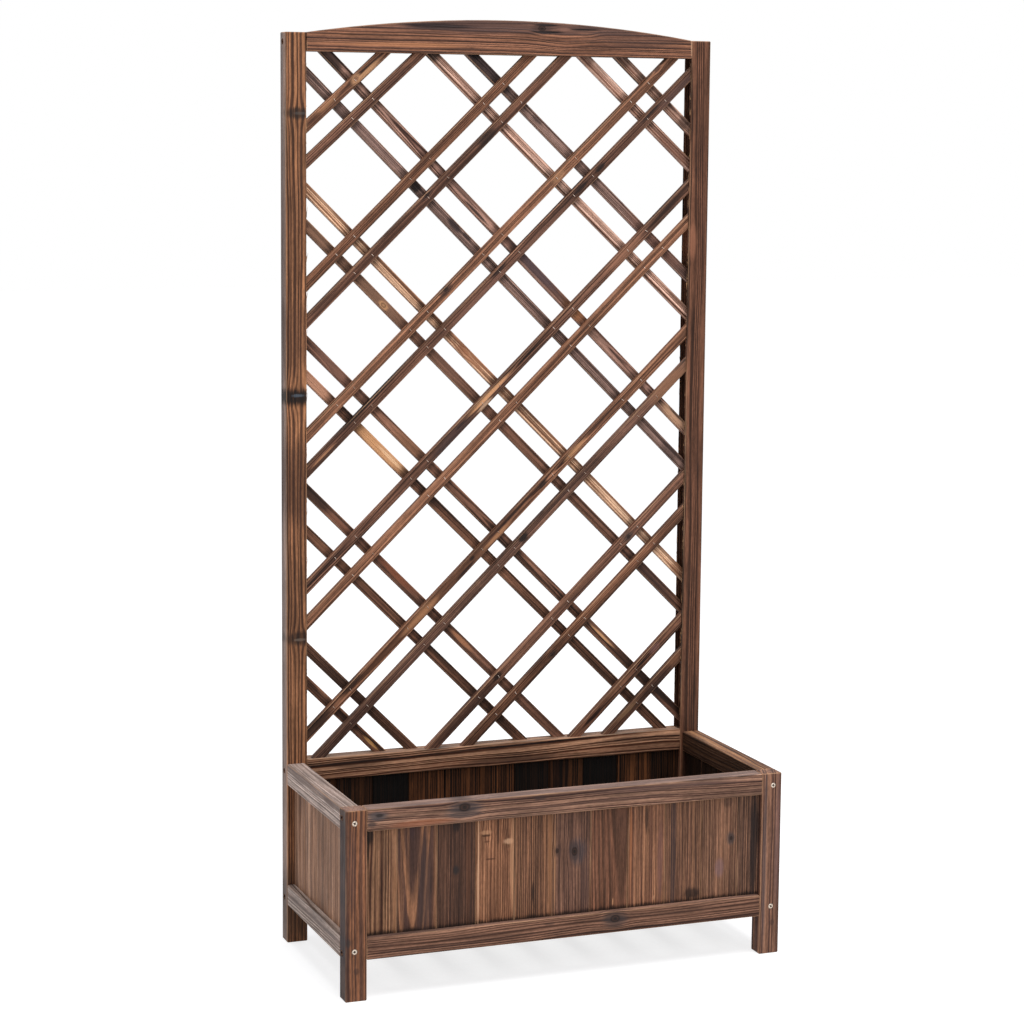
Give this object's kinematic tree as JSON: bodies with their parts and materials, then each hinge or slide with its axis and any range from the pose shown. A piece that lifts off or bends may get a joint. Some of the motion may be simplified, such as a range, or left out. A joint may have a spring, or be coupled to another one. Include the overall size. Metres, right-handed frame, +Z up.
{
  "type": "trellis planter",
  "caption": "Free-standing rectangular wooden planter box on short legs, with an arched lattice trellis between its tall rear posts.",
  "frame": {"origin": "on the floor, under the middle of the outer box of the whole object", "axes": "+Z up, +X to the right seen from the front, +Y from the front of the planting box to the trellis"},
  "size_m": [0.6, 0.28, 1.221],
  "materials": {
    "charred_frame_timber": "charred, wire-brushed softwood, matt",
    "charred_board_timber": "charred, wire-brushed softwood, matt",
    "charred_slat_timber": "charred, wire-brushed softwood, matt",
    "zinc_screws": "pale zinc plating",
    "staple_wire": "bright galvanised wire"
  },
  "bodies": {
    "root": {"front_left_post": "charred_frame_timber", "front_right_post": "charred_frame_timber", "rear_left_post": "charred_frame_timber", "rear_right_post": "charred_frame_timber", "front_top_rail": "charred_frame_timber", "front_bottom_rail": "charred_frame_timber", "rear_top_rail": "charred_frame_timber", "rear_bottom_rail": "charred_frame_timber", "left_top_rail": "charred_frame_timber", "left_bottom_rail": "charred_frame_timber", "right_top_rail": "charred_frame_timber", "right_bottom_rail": "charred_frame_timber", "arch_rail": "charred_frame_timber", "front_board_01": "charred_board_timber", "front_board_02": "charred_board_timber", "front_board_03": "charred_board_timber", "front_board_04": "charred_board_timber", "front_board_05": "charred_board_timber", "front_board_06": "charred_board_timber", "front_board_07": "charred_board_timber", "front_board_08": "charred_board_timber", "front_board_09": "charred_board_timber", "front_board_10": "charred_board_timber", "front_board_11": "charred_board_timber", "rear_boards": "charred_board_timber", "left_boards": "charred_board_timber", "right_boards": "charred_board_timber", "front_floor_cleat": "charred_frame_timber", "rear_floor_cleat": "charred_frame_timber", "floor_boards": "charred_board_timber", "lattice_front_slat_01": "charred_slat_timber", "lattice_front_slat_02": "charred_slat_timber", "lattice_front_slat_03": "charred_slat_timber", "lattice_front_slat_04": "charred_slat_timber", "lattice_front_slat_05": "charred_slat_timber", "lattice_front_slat_06": "charred_slat_timber", "lattice_front_slat_07": "charred_slat_timber", "lattice_front_slat_08": "charred_slat_timber", "lattice_front_slat_09": "charred_slat_timber", "lattice_front_slat_10": "charred_slat_timber", "lattice_front_slat_11": "charred_slat_timber", "lattice_front_slat_12": "charred_slat_timber", "lattice_front_slat_13": "charred_slat_timber", "lattice_front_slat_14": "charred_slat_timber", "lattice_rear_slat_01": "charred_slat_timber", "lattice_rear_slat_02": "charred_slat_timber", "lattice_rear_slat_03": "charred_slat_timber", "lattice_rear_slat_04": "charred_slat_timber", "lattice_rear_slat_05": "charred_slat_timber", "lattice_rear_slat_06": "charred_slat_timber", "lattice_rear_slat_07": "charred_slat_timber", "lattice_rear_slat_08": "charred_slat_timber", "lattice_rear_slat_09": "charred_slat_timber", "lattice_rear_slat_10": "charred_slat_timber", "lattice_rear_slat_11": "charred_slat_timber", "lattice_rear_slat_12": "charred_slat_timber", "lattice_rear_slat_13": "charred_slat_timber", "lattice_rear_slat_14": "charred_slat_timber", "frame_screws": "zinc_screws", "lattice_staples": "staple_wire"}
  },
  "joints": []
}
